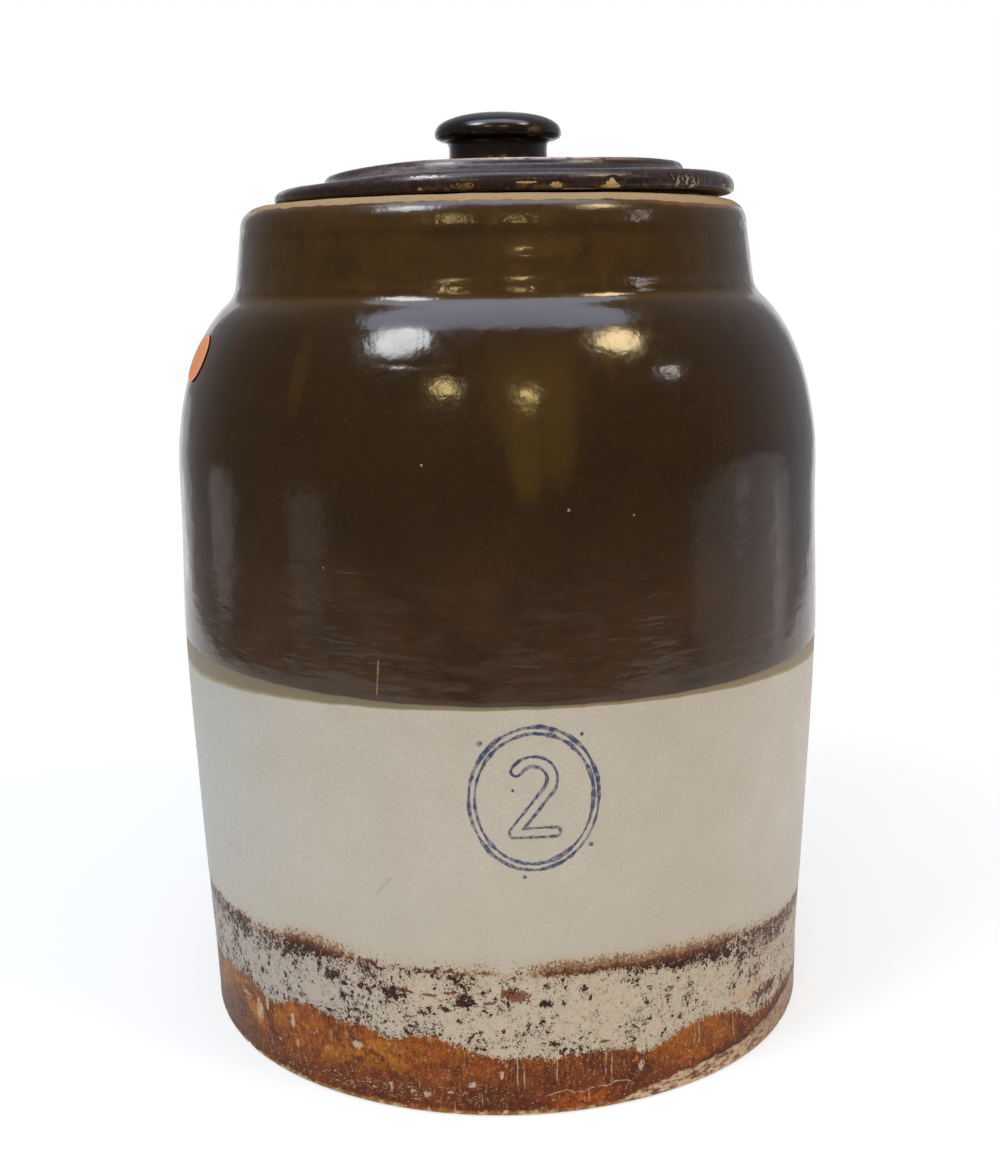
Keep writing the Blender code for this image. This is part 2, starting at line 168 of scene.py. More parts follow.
class Field:
    """A node's socket that can be used in sums, in a material or in a Geometry Nodes tree."""

    def __init__(self, tree, socket=None):
        self.tree, self.socket = tree, socket

    def node(self, kind, settings=None, sockets=None, output=0):
        """Adds a node with its settings, sets or links its sockets, and gives one of its outputs."""
        node = self.tree.nodes.new(kind)
        for name, value in (settings or {}).items():
            setattr(node, name, value)
        for key, value in (sockets or {}).items():
            if isinstance(value, Field):
                self.tree.links.new(value.socket, node.inputs[key])
            else:
                node.inputs[key].default_value = value
        return Field(self.tree, node.outputs[output] if node.outputs else None)

    def other(self, output):
        """Another output of the node that this one comes from."""
        return Field(self.tree, self.socket.node.outputs[output])

    def maths(self, operation, *others):
        return self.node("ShaderNodeMath", {"operation": operation}, dict(enumerate((self, *others))))

    def __add__(self, other):
        return self.maths("ADD", other)

    __radd__ = __add__

    def __sub__(self, other):
        return self.maths("SUBTRACT", other)

    def __rsub__(self, other):
        return self * -1 + other

    def __mul__(self, other):
        return self.maths("MULTIPLY", other)

    __rmul__ = __mul__

    def __truediv__(self, other):
        return self.maths("DIVIDE", other)

    def __neg__(self):
        return self * -1

    def either(self, other):
        return self.maths("MAXIMUM", other)

    def least(self, other):
        return self.maths("MINIMUM", other)

    def size(self):
        return self.maths("ABSOLUTE")

    def rise(self, low, high):
        """0 below low and 1 above high, with a soft step between; turned round where low is above high."""
        return self.node("ShaderNodeMapRange", {"interpolation_type": "SMOOTHSTEP"},
                         {"Value": self, "From Min": low, "From Max": high})

    def hump(self, middle, reach):
        """1 at the middle, fading like a bell to nearly 0 at twice the reach."""
        share = (self - middle) / reach
        return (share * share * -1).maths("EXPONENT")

    def curve(self, table):
        """A value that follows a table of (reading, value) pairs in straight steps."""
        low, high, top = table[0][0], table[-1][0], max(value for _, value in table)
        bent = self.node("ShaderNodeFloatCurve", {}, {"Value": (self - low) / (high - low)})
        mapping = bent.socket.node.mapping
        points = mapping.curves[0].points
        points[0].location, points[1].location = (0, table[0][1] / top), (1, table[-1][1] / top)
        for reading, value in table[1:-1]:
            points.new((reading - low) / (high - low), value / top)
        for point in points:
            point.handle_type = "VECTOR"
        mapping.update()
        return bent * top

    def sine(self, ahead=0):
        """Sine of this angle in degrees, moved ahead by some degrees."""
        return ((self + ahead) * math.radians(1)).maths("SINE")

    def stretched(self, across, along, up):
        """This vector with each axis multiplied."""
        if self.tree.type == "SHADER":
            return self.node("ShaderNodeMapping", {}, {"Vector": self, "Scale": (across, along, up)})
        return self.node("ShaderNodeVectorMath", {"operation": "MULTIPLY"}, {0: self, 1: (across, along, up)})

    def noise(self, grain, seed, detail=2, rough=0.5, twist=0):
        """Smooth noise between 0 and 1 over this place, with grains about that many millimetres wide."""
        return self.node("ShaderNodeTexNoise", {"noise_dimensions": "4D"},
                         {"Vector": self, "W": seed, "Scale": 1 / grain, "Detail": detail,
                          "Roughness": rough, "Distortion": twist})

    def blend(self, first, second):
        """The first colour where this mask is 0 and the second where it is 1."""
        return self.node("ShaderNodeMix", {"data_type": "RGBA"}, {0: self, 6: first, 7: second}, output=2)


class Place:
    """Where a point of a piece is: its place in millimetres, its angle round the front and its radius."""

    def __init__(self, metres, centre=0):
        self.mm = metres.node("ShaderNodeVectorMath", {"operation": "SCALE"}, {0: metres, "Scale": METRE})
        self.grit = self.mm.noise(0.9, 73, 3, 0.7) - 0.5
        parts = metres.node("ShaderNodeSeparateXYZ", {}, {0: self.mm})
        self.x, self.y, self.z = parts - centre, parts.other("Y"), parts.other("Z")
        if metres.tree.type == "SHADER":
            self.x, self.z = self.x + self.grit * 0.1, self.z + self.grit * 0.2
        self.around = self.x.maths("ARCTAN2", -self.y) * math.degrees(1)
        self.radius = (self.x * self.x + self.y * self.y).maths("SQRT")


def arc(centre, reach, start, end, steps, power=2):
    """Points on an ellipse, or a squarer superellipse, as (radius, height), between two angles."""
    points = []
    for i in range(steps + 1):
        angle = math.radians(start + (end - start) * i / steps)
        across, up = math.cos(angle), math.sin(angle)
        across = math.copysign(abs(across) ** (2 / power), across)
        up = math.copysign(abs(up) ** (2 / power), up)
        points.append((centre[0] + reach[0] * across, centre[1] + reach[1] * up))
    return points


def bend(start, corner, end, steps=6):
    """Points on a smooth bend from start to end that is drawn towards corner."""
    points = []
    for i in range(steps + 1):
        t = i / steps
        weights = ((1 - t) ** 2, 2 * t * (1 - t), t * t)
        points.append(tuple(sum(w * p[axis] for w, p in zip(weights, (start, corner, end))) for axis in (0, 1)))
    return points


def spaced(points, spacing):
    """The line through the points, cut into even steps of about that length."""
    lengths = [0]
    for a, b in zip(points, points[1:]):
        lengths.append(lengths[-1] + math.dist(a, b))
    count = max(1, round(lengths[-1] / spacing))
    even, k = [], 0
    for i in range(count + 1):
        target = lengths[-1] * i / count
        while k < len(lengths) - 2 and lengths[k + 1] < target:
            k += 1
        share = (target - lengths[k]) / max(lengths[k + 1] - lengths[k], 1e-9)
        even.append(tuple(points[k][axis] + (points[k + 1][axis] - points[k][axis]) * share for axis in (0, 1)))
    return even


def joined(*stretches):
    """One line through all the stretches, without the points that two of them share."""
    line = list(stretches[0])
    for stretch in stretches[1:]:
        line += [p for p in stretch if math.dist(p, line[-1]) > 0.05]
    return line


def side_radius(height):
    """Outer radius of the pot between its foot and the start of its shoulder."""
    if height < BELLY_HEIGHT:
        return BELLY_RADIUS - (BELLY_RADIUS - FOOT_RADIUS) * (1 - height / BELLY_HEIGHT) ** 1.3
    share = (height - BELLY_HEIGHT) / (SHOULDER_START - BELLY_HEIGHT)
    return BELLY_RADIUS - SHOULDER_DRAW_IN * (1 - math.cos(math.pi * share)) / 2


SHOULDER_RADIUS = BELLY_RADIUS - SHOULDER_DRAW_IN
NECK_FOOT_RADIUS = SHOULDER_RADIUS - SHOULDER_REACH + SHOULDER_UNDERCUT
NECK_FOOT_HEIGHT = BODY_HEIGHT - NECK_HEIGHT
MOUTH_RADIUS = NECK_FOOT_RADIUS - NECK_TAPER - RIM_WIDTH
SHOULDER_CENTRE = SHOULDER_RADIUS - SHOULDER_REACH
SHOULDER_CUT = math.degrees(math.acos(SHOULDER_UNDERCUT / SHOULDER_REACH))
SHOULDER_RISE = (NECK_FOOT_HEIGHT - SHOULDER_START) / math.sin(math.radians(SHOULDER_CUT))


def pot_profile():
    """The pot's underside, outside and inside as one line of (radius, height), and which points are inside."""
    crown_width = RIM_WIDTH * 0.52
    neck_top = NECK_FOOT_RADIUS - NECK_TAPER
    crown = arc((neck_top - crown_width, BODY_HEIGHT - RIM_DROP), (crown_width, RIM_DROP), 90, 0, 24)
    corner = (NECK_FOOT_RADIUS, NECK_FOOT_HEIGHT)
    above = (NECK_FOOT_RADIUS - NECK_TAPER * NECK_FILLET / NECK_HEIGHT, NECK_FOOT_HEIGHT + NECK_FILLET)
    cut = SHOULDER_CUT - math.degrees(NECK_FILLET / SHOULDER_REACH)
    shoulder = arc((SHOULDER_CENTRE, SHOULDER_START), (SHOULDER_REACH, SHOULDER_RISE), cut, 0, 60)
    heights = [SHOULDER_START - i for i in range(int(SHOULDER_START - FOOT_ROUND) + 1)]
    side = [(side_radius(h), h) for h in heights]
    foot = arc((side[-1][0] - FOOT_ROUND, FOOT_ROUND), (FOOT_ROUND, FOOT_ROUND), 0, -90, 8)
    ring = side[-1][0] - FOOT_ROUND - FOOT_RING
    wall_foot = FLOOR + FLOOR_CORNER
    floor = arc((side_radius(wall_foot) - WALL - FLOOR_CORNER, wall_foot), (FLOOR_CORNER,) * 2, -90, 0, 12)
    wall = [(side_radius(h) - WALL, h) for h in range(wall_foot, SHOULDER_START, 4)]
    inner = arc((SHOULDER_CENTRE, SHOULDER_START), (SHOULDER_REACH - WALL, SHOULDER_RISE - WALL), 0, 84, 24)
    throat = NECK_FOOT_RADIUS - NECK_WALL
    ceiling = inner[-1][1]
    lip = arc((MOUTH_RADIUS + RIM_INNER_ROUND, BODY_HEIGHT - RIM_INNER_ROUND), (RIM_INNER_ROUND,) * 2, 180, 90, 8)
    inside = joined(spaced([(0, FLOOR), floor[0]], 14), spaced(joined(floor, wall, inner), 6),
                    spaced(bend(inner[-1], (throat, ceiling), (throat, ceiling + THROAT_FILLET)), 1.5),
                    spaced([(throat, ceiling + THROAT_FILLET), lip[0]], 3), spaced(lip, 0.8))
    outside = joined(spaced([lip[-1], crown[0]], 1.5), spaced(crown, 0.8), spaced([crown[-1], above], 1.8),
                     spaced(bend(above, corner, shoulder[0]), 0.9), spaced(shoulder, 1.6),
                     spaced([p for p in side if p[1] >= 182], 2), spaced([p for p in side if 128 <= p[1] <= 182], 1.1),
                     spaced([p for p in side if 30 <= p[1] <= 128], 2.4), spaced([p for p in side if p[1] <= 30], 1.3),
                     spaced(foot, 0.6))
    under = joined(spaced([foot[-1], (ring, 0)], 4), [(ring - FOOT_RECESS, FOOT_RECESS)],
                   spaced([(ring - FOOT_RECESS, FOOT_RECESS), (0, FOOT_RECESS)], 16))
    line = joined(inside, outside, under)[::-1]
    return line, range(len(line) - len(inside), len(line))


def lid_profile():
    """The lid's underside and flange, brim and step as one line, and which points are underneath."""
    low, high, edge = 1.5, 3.8, 2.2
    ceiling = SEAT_GAP + LID_HOLLOW
    brim_top = SEAT_GAP + BRIM_THICKNESS
    step_radius = LID_RADIUS - STEP_SETBACK
    step_foot = brim_top + BRIM_RISE
    under = joined(
        spaced([(0, ceiling), (FLANGE_INNER - edge, ceiling)], 5),
        spaced(bend((FLANGE_INNER - edge, ceiling), (FLANGE_INNER, ceiling), (FLANGE_INNER, ceiling - edge)), 1),
        spaced([(FLANGE_INNER, ceiling - edge), (FLANGE_INNER, edge - FLANGE_DEPTH)], 2),
        spaced(arc((FLANGE_INNER + edge, edge - FLANGE_DEPTH), (edge, edge), 180, 270, 8), 0.8),
        spaced(arc((FLANGE_OUTER - edge, edge - FLANGE_DEPTH), (edge, edge), 270, 360, 8), 0.8),
        spaced([(FLANGE_OUTER, edge - FLANGE_DEPTH), (FLANGE_OUTER, SEAT_GAP - 0.8)], 1.5),
        bend((FLANGE_OUTER, SEAT_GAP - 0.8), (FLANGE_OUTER, SEAT_GAP), (FLANGE_OUTER + 0.8, SEAT_GAP), 3),
        spaced([(FLANGE_OUTER + 0.8, SEAT_GAP), (LID_RADIUS - low, SEAT_GAP)], 1.2))
    brim = joined(spaced(arc((LID_RADIUS - low, SEAT_GAP + low), (low, low), -90, 0, 10), 0.45),
                  spaced(arc((LID_RADIUS - high, brim_top - high), (high, high), 0, 80, 20), 0.5))
    foot = (step_radius + 6.5, step_foot - 0.35)
    round_edge = arc((step_radius - 2.2, LID_TOP - 2), (2.2, 2), 12, 90, 12)
    step = joined(spaced([brim[-1], foot], 0.9), spaced(bend(foot, (step_radius + 0.9, step_foot - 0.05), round_edge[0], 12), 0.45),
                  spaced(round_edge, 0.45), spaced([round_edge[-1], (0, LID_TOP)], 1.6))
    line = joined(under, brim, step)
    return [(r, h + BODY_HEIGHT) for r, h in line], range(len(under))


def knob_profile():
    """The knob from its underside up to its crown, and which points lie against the lid."""
    lip_top = SEAT_GAP + KNOB_NECK_HEIGHT + KNOB_LIP_DROP
    crown = arc((0, lip_top), (KNOB_RADIUS, KNOB_CROWN), 0, 90, 60, 2.4)
    lip = arc((KNOB_RADIUS - KNOB_LIP, lip_top), (KNOB_LIP, KNOB_LIP_DROP), -90, 0, 16)
    waist = (KNOB_NECK_RADIUS, SEAT_GAP + KNOB_NECK_HEIGHT - KNOB_FLARE)
    flare_top = (KNOB_NECK_RADIUS, SEAT_GAP + KNOB_FLARE * 2)
    flare = (KNOB_NECK_RADIUS + KNOB_FLARE, SEAT_GAP)
    base = spaced([(0, SEAT_GAP), flare], 3)
    line = joined(base, spaced(bend(flare, (flare_top[0], flare[1]), flare_top), 0.5),
                  spaced([flare_top, waist], 0.5), spaced(bend(waist, (waist[0], lip[0][1]), lip[0]), 0.4),
                  spaced(lip, 0.35), spaced(crown, 0.6))
    return [(r, h + BODY_HEIGHT + LID_TOP) for r, h in line], range(len(base))


def turning_tree(name, centre, relief):
    """Geometry Nodes that sweep a profile round, close it and move its surface as relief(place, inner) says."""
    tree = bpy.data.node_groups.new(name, "GeometryNodeTree")
    for label, kind in (("Profile", "NodeSocketGeometry"), ("Columns", "NodeSocketInt"),
                        ("Glaze", "NodeSocketMaterial")):
        tree.interface.new_socket(name=label, in_out="INPUT", socket_type=kind)
    tree.interface.new_socket(name="Piece", in_out="OUTPUT", socket_type="NodeSocketGeometry")
    start = Field(tree)
    profile = start.node("NodeGroupInput", output="Profile")
    rows = start.node("GeometryNodeAttributeDomainSize", {"component": "MESH"}, {"Geometry": profile}, "Point Count")
    sheet = start.node("GeometryNodeMeshGrid", {}, {"Size X": 1, "Size Y": 1, "Vertices Y": rows,
                                                    "Vertices X": profile.other("Columns") + 1})
    spot = start.node("GeometryNodeInputPosition")
    share = start.node("ShaderNodeSeparateXYZ", {}, {0: spot})
    row = ((share.other("Y") + 0.5) * (rows - 1)).maths("ROUND")
    inner = start.node("GeometryNodeInputNamedAttribute", {"data_type": "FLOAT"}, {"Name": "inner"}, "Attribute")
    point = start.node("GeometryNodeSampleIndex", {"data_type": "FLOAT_VECTOR"},
                       {"Geometry": profile, "Value": spot, "Index": row})
    point = start.node("ShaderNodeSeparateXYZ", {}, {0: point})
    inner_there = start.node("GeometryNodeSampleIndex", {"data_type": "FLOAT"},
                             {"Geometry": profile, "Value": inner, "Index": row})
    angle = share * (2 * math.pi)
    swept = start.node("ShaderNodeCombineXYZ", {}, {"X": point * angle.maths("SINE") + centre / METRE,
                                                    "Y": point * angle.maths("COSINE") * -1,
                                                    "Z": point.other("Z")})
    marked = start.node("GeometryNodeStoreNamedAttribute", {"data_type": "FLOAT", "domain": "POINT"},
                        {"Geometry": sheet, "Name": "inner", "Value": inner_there})
    turned = start.node("GeometryNodeSetPosition", {}, {"Geometry": marked, "Position": swept})
    closed = start.node("GeometryNodeMergeByDistance", {}, {"Geometry": turned, "Distance": MERGE / METRE})
    place = Place(spot, centre)
    push, outward, upward = relief(place, inner)
    pushed = start.node("ShaderNodeVectorMath", {"operation": "SCALE"},
                        {0: start.node("GeometryNodeInputNormal"), "Scale": push / METRE})
    drawn = start.node("ShaderNodeCombineXYZ", {}, {"X": outward * place.x / place.radius / METRE,
                                                    "Y": outward * place.y / place.radius / METRE,
                                                    "Z": upward / METRE})
    moved = start.node("ShaderNodeVectorMath", {"operation": "ADD"}, {0: pushed, 1: drawn})
    shaped = start.node("GeometryNodeSetPosition", {}, {"Geometry": closed, "Offset": moved})
    smooth = start.node("GeometryNodeSetShadeSmooth", {}, {"Geometry": shaped})
    real = start.node("GeometryNodeRealizeInstances", {}, {"Geometry": smooth})
    glazed = start.node("GeometryNodeSetMaterial", {}, {"Geometry": real, "Material": profile.other("Glaze")})
    start.node("NodeGroupOutput", {}, {"Piece": glazed})
    return tree


def turned_piece(name, profile, columns, centre, relief, glaze):
    """A piece of clay swept round from its profile, as a plain closed mesh at the origin."""
    line, inner_points = profile
    mesh = bpy.data.meshes.new(name + "_profile")
    mesh.from_pydata([(r / METRE, 0, h / METRE) for r, h in line], [(i, i + 1) for i in range(len(line) - 1)], [])
    inner = mesh.attributes.new("inner", "FLOAT", "POINT")
    for i in inner_points:
        inner.data[i].value = 1
    maker = bpy.data.objects.new(name + "_profile", mesh)
    bpy.context.scene.collection.objects.link(maker)
    turning = maker.modifiers.new("turning", "NODES")
    turning.node_group = turning_tree(name + "_turning", centre, relief)
    sockets = {s.name: s.identifier for s in turning.node_group.interface.items_tree if s.in_out == "INPUT"}
    turning[sockets["Columns"]] = columns
    turning[sockets["Glaze"]] = glaze
    finished = bpy.data.meshes.new_from_object(maker.evaluated_get(bpy.context.evaluated_depsgraph_get()))
    bpy.data.objects.remove(maker)
    piece = bpy.data.objects.new(name, finished)
    bpy.context.scene.collection.objects.link(piece)
    return piece


def glaze_line(place):
    """Height of the lower edge of the brown slip, which was dipped a little askew."""
    wander = place.mm.stretched(1, 1, 0).noise(9, 11, 3) - 0.5
    return wander * 1.1 + 135.6 + place.around.sine(90) * -1.47 + place.around.sine() * -1.69


def rust_line(place):
    """Height of the iron-brown line where the cream glaze gives out above the foot."""
    wander = place.mm.stretched(1, 1, 0).noise(4, 12, 4, 0.7) - 0.5
    return wander * 6 + place.around.curve(RUST_LINE)


def wash_line(place):
    """Height of the ragged top of the rusty wash on the foot."""
    wander = place.mm.stretched(1, 1, 0).noise(9, 13, 3, 0.6) - 0.5
    return wander * 4 + place.around.curve(WASH_LINE)


def rim_line(place):
    """Height of the edge of the slip below the bare rim."""
    wander = place.mm.noise(6, 14, 3, 0.6) - 0.5
    return wander * 1.6 + 275.9 - place.around.rise(20, 60) * 0.9


def pot_relief(place, inner):
    """How the pot departs from its turned form: along its surface's normal, outward and upward, in millimetres."""
    z, around = place.z, place.around
    outside = 1 - inner
    wobble = (place.mm.noise(55, 21, 1) - 0.5) * 0.5 - CLAY_SHRINK
    ridge_zone = z.rise(134, 142) * z.rise(186, 174) * (around.hump(2, 30) * 0.7 + 0.3)
    ridges = (place.mm.stretched(0.045, 0.045, 0.26).noise(1, 22, 2, 0.5, 0.5) - 0.5) * ridge_zone * 0.34
    finger_rings = (place.mm.stretched(0.006, 0.006, 0.11).noise(1, 23, 1) - 0.5) * z.rise(186, 200) * 0.35
    coat = (z - glaze_line(place)).rise(-0.9, 0.9) * z.rise(277, 275) * 0.22
    flakes = (rust_line(place) - z).rise(-1, 1) * -0.15
    push = (wobble + (ridges + finger_rings + coat + flakes) * outside) * z.rise(0.2, 3)
    foot = z.rise(24, 6) * outside
    swell = around.hump(50, 26) * 1.9 + around.hump(-52, 24) * 0.8
    chipped = (place.mm.noise(5, 24, 3) - 0.62).either(0) * -3.5 * z.rise(4.5, 0.5) * place.radius.rise(103, 106)
    rim_dents = (place.mm.stretched(1, 1, 0.3).noise(14, 25, 2) - 0.5) * 0.5 * z.rise(272, 277)
    return push, swell * foot + chipped * outside, rim_dents - z.rise(277, 279) * 0.25


def lid_relief(place, inner):
    """The lid warped in firing: low at its left edge and off the rim at its right one."""
    x, z = place.x, place.z
    upper = (1 - inner) * z.rise(BODY_HEIGHT + SEAT_GAP, BODY_HEIGHT + SEAT_GAP + BRIM_THICKNESS)
    wobble = (place.mm.noise(22, 31, 2) - 0.5) * 0.35
    rings = (place.radius.maths("SINE")) * 0.05 * upper
    wear = (place.mm.noise(4, 32, 3) - 0.6).either(0) * -1.6 * z.rise(BODY_HEIGHT + 3, BODY_HEIGHT + 1)
    warp = x.rise(14, 74) * 1.35 - upper * x.rise(-22, -62) * 1.45
    return (wobble - 0.1) * upper + rings + wear * (1 - inner) - chips(place) * 0.5, 0, warp


def knob_relief(place, inner):
    """The knob is a little lopsided, with a crease under its widest part and one chip."""
    crown = 1 - inner
    z = place.z - BODY_HEIGHT - LID_TOP
    wobble = (place.mm.noise(14, 41, 2) - 0.5) * 0.5 - 0.12
    return (wobble - z.hump(9.9, 0.35) * 0.18 - knob_chip(place) * 0.4) * crown, 0, 0


def spot_mask(place, angle, height, half_angle, half_height, ragged):
    """1 inside an oval spot at that angle and height, with an edge moved by ragged noise."""
    across, up = (place.around - angle) / half_angle, (place.z - height) / half_height
    return (across * across + up * up + ragged).rise(1.15, 0.85)


def chips(place):
    """Where the glaze is knocked off the lid's lower edge."""
    ragged = (place.mm.noise(1, 33, 4, 0.7) - 0.5) * 4
    mask = spot_mask(place, *LID_CHIPS[0], ragged)
    for chip in LID_CHIPS[1:]:
        mask = mask.either(spot_mask(place, *chip, ragged))
    return mask


def knob_chip(place):
    """The tan chip on the right of the knob's lip."""
    ragged = (place.mm.noise(0.9, 42, 4, 0.75) - 0.5) * 5
    return spot_mask(place, 35, BODY_HEIGHT + LID_TOP + 11.2, 8, 1.7, ragged)


def surface(name, centre=0):
    """A new material, with the place of the point that is being shaded."""
    material = bpy.data.materials.new(name)
    material.use_nodes = True
    spot = Field(material.node_tree).node("ShaderNodeTexCoord", output="Object")
    return material, Place(spot, centre)


def finish_surface(material, colour, roughness, relief, specular=0.5, dull=None):
    """Links a material's colour, roughness and fine relief in millimetres; where dull is 1 it hardly shines."""
    tree = material.node_tree
    shader = tree.nodes["Principled BSDF"]
    bump = relief.node("ShaderNodeBump", {}, {"Height": relief, "Distance": 1 / METRE})
    for name, value in (("Base Color", colour), ("Roughness", roughness), ("Normal", bump)):
        tree.links.new(value.socket, shader.inputs[name])
    shader.inputs["Specular IOR Level"].default_value = specular
    if dull:
        wear_shader_and_edge_highlight = colour.node("ShaderNodeBsdfPrincipled", {}, {"Base Color": colour, "Roughness": roughness,
                                                            "Normal": bump, "Specular IOR Level": 0.08})
        mixed = dull.node("ShaderNodeMixShader", {}, {0: dull, 1: Field(tree, shader.outputs[0]), 2: wear_shader_and_edge_highlight})
        tree.links.new(mixed.socket, tree.nodes["Material Output"].inputs["Surface"])
    return material


def segment(u, v, start, end):
    """Distance from (u, v) to a straight stroke."""
    along, up = end[0] - start[0], end[1] - start[1]
    share = ((u - start[0]) * along + (v - start[1]) * up) / (along * along + up * up)
    share = share.either(0).least(1)
    du, dv = u - start[0] - share * along, v - start[1] - share * up
    return (du * du + dv * dv).maths("SQRT")


def brown_slip(place):
    """Colour of the brown slip: olive on the neck, duller down the side, mottled, with amber runs, a painted grey sheen
    low on its front and a painted reflection line at the neck's foot.
    """
    z, around, mm = place.z, place.around, place.mm
    tone = z.rise(150, 200).blend(paint(58, 40, 23), paint(45, 29, 10))
    tone = z.rise(238, 256).blend(tone, paint(61, 42, 14))
    tone = (mm.noise(24, 51, 4).rise(0.38, 0.7) * 0.45).blend(tone, paint(32, 20, 8))
    tone = (mm.noise(1.8, 52, 3).rise(0.5, 0.75) * 0.1).blend(tone, paint(88, 62, 30))
    fired = mm.stretched(1, 1, 4).noise(5, 54, 3, 0.6).rise(0.66, 0.72) * z.rise(180, 160) * 0.5
    tone = fired.blend(tone, paint(104, 54, 26))
    # Painted sheen: grey-lilac streaks low on the front of the slip stand for a reflection of the pale floor.
    painted_sheen = mm.stretched(0.25, 0.25, 1).noise(3, 46, 4, 0.6).rise(0.44, 0.6) * mm.noise(22, 45, 2).rise(0.35, 0.6)
    painted_sheen = painted_sheen * z.rise(182, 150) * around.hump(-2, 34)
    tone = (painted_sheen * 0.35).blend(tone, paint(74, 62, 54))
    dark = mm.stretched(0.1, 0.1, 0.7).noise(1, 44, 3, 0.6).rise(0.58, 0.68) * z.rise(182, 160) * around.hump(-2, 26)
    tone = (dark * 0.6).blend(tone, paint(34, 22, 10))
    scratch = segment(around, z, (-18.5, 147), (-18.9, 136.8)) + (mm.noise(2, 43, 2) - 0.5) * 0.3
    tone = (scratch.rise(0.2, 0.05) * 0.8).blend(tone, paint(128, 104, 82))
    neck = z.rise(246, 252)
    tone = (mm.noise(6, 50, 4, 0.65).rise(0.42, 0.62) * neck * 0.25).blend(tone, paint(38, 28, 8))
    tone = (mm.noise(11, 49, 4, 0.6).rise(0.46, 0.6) * neck * around.hump(14, 14) * 0.3).blend(tone, paint(86, 56, 22))
    # Painted reflection: a pale brown line at the neck's foot stands for a reflection in the fillet there.
    tone = (z.hump(248.2, 1.1) * 0.2).blend(tone, paint(104, 80, 56))
    wavy = (mm.noise(9, 53, 3) - 0.5) * 7
    runs = around * 0
    for angle, tip, half, top, strength in AMBER_RUNS:
        aside = (around - angle) / half
        run = (z - aside * aside * 7 - tip + wavy).rise(-2, 8) * z.rise(top + 4, top - 14) * aside.size().rise(1.5, 0.4)
        runs = runs.either(run * strength)
    tone = runs.blend(tone, paint(114, 84, 16))
    specks = around * 0
    for angle, height, half in SLIP_SPECKS:
        specks = specks.either(spot_mask(place, angle, height, half / 2.6, half / 1.4, place.grit * 2))
    return (specks * 0.7).blend(tone, paint(170, 150, 118))


def crowd(place, grain, seed, share):
    """A mask of ragged specks of about that grain that cover that share of the surface."""
    mm = place.mm
    coarse, fine = mm.noise(grain, seed, 3, 0.65), mm.noise(grain * 0.35, seed + 0.5, 2, 0.6)
    cut = share * -0.24 + 0.622
    return (coarse * 0.65 + fine * 0.35).rise(cut - 0.012, cut + 0.016)


def cream_glaze(place):
    """Colour of the cream glaze: warm grey white with painted shade that greys it on the left, a little lighter on the
    right, with fine specks.
    """
    mm = place.mm
    # Painted shade: the cream turns greyer towards the left side; towards the right it turns a little lighter.
    tone = place.x.rise(-50, -100).blend(paint(182, 174, 161), paint(170, 173, 167))
    tone = place.x.rise(50, 100).blend(tone, paint(191, 184, 174))
    tone = (mm.noise(16, 61, 3).rise(0.35, 0.7) * 0.3).blend(tone, paint(168, 158, 140))
    tone = (mm.noise(0.7, 62, 3, 0.7).rise(0.4, 0.7) * 0.5).blend(tone, paint(160, 149, 132))
    tone = (crowd(place, 0.6, 63, 0.08) * 0.08).blend(tone, paint(120, 104, 86))
    tone = (place.z.rise(86, 56) * 0.5).blend(tone, paint(168, 160, 144))
    u, v = (place.around + 19.2) * math.radians(BELLY_RADIUS), place.z - 76.5
    smear = (segment(u, v, (-2.4, -2.6), (2.2, 2.4)) + (mm.noise(1.2, 67, 3) - 0.5) * 1.6).rise(1.2, 0)
    tone = (smear * 0.3).blend(tone, paint(118, 124, 140))
    return (mm.noise(0.8, 64, 2, 0.4).rise(0.79, 0.82) * 0.2).blend(tone, paint(96, 84, 76))


def iron_specks(place, below, above):
    """A mask of the dark iron specks between the rusty line and the wash."""
    z, around = place.z, place.around
    line = below.rise(-0.6, 0.6) * (below / around.curve(LINE_DEPTH)).rise(1.5, 0.5) * around.curve(LINE_CROWDING) * 0.86
    clumps = place.mm.stretched(1, 1, 0.7).noise(6, 71, 4, 0.6).rise(0.42, 0.6)
    share = (clumps * 0.3 + 0.06 + around.rise(-8, -20) * 0.08 + above.hump(1.5, 3) * 0.05) * below.rise(-0.5, 1)
    share = share.either(line)
    for angle, height, half_angle, half_height, most in IRON_PATCHES:
        across, up = (around - angle) / half_angle, (z - height) / half_height
        share = share.either(((across * across + up * up) * -1).maths("EXPONENT") * most)
    smooth = spot_mask(place, *PALE_PATCHES[0], place.grit * 3)
    for patch in PALE_PATCHES[1:]:
        smooth = smooth.either(spot_mask(place, *patch, place.grit * 3) * 0.8)
    share = share * (1 - smooth)
    fine = crowd(place, 0.8, 70, share * 0.7 + 0.06) * below.rise(0, 1) * (1 - smooth)
    return crowd(place, 1.9, 72, share).either(fine * 0.8) * below.rise(-2.5, -0.5)


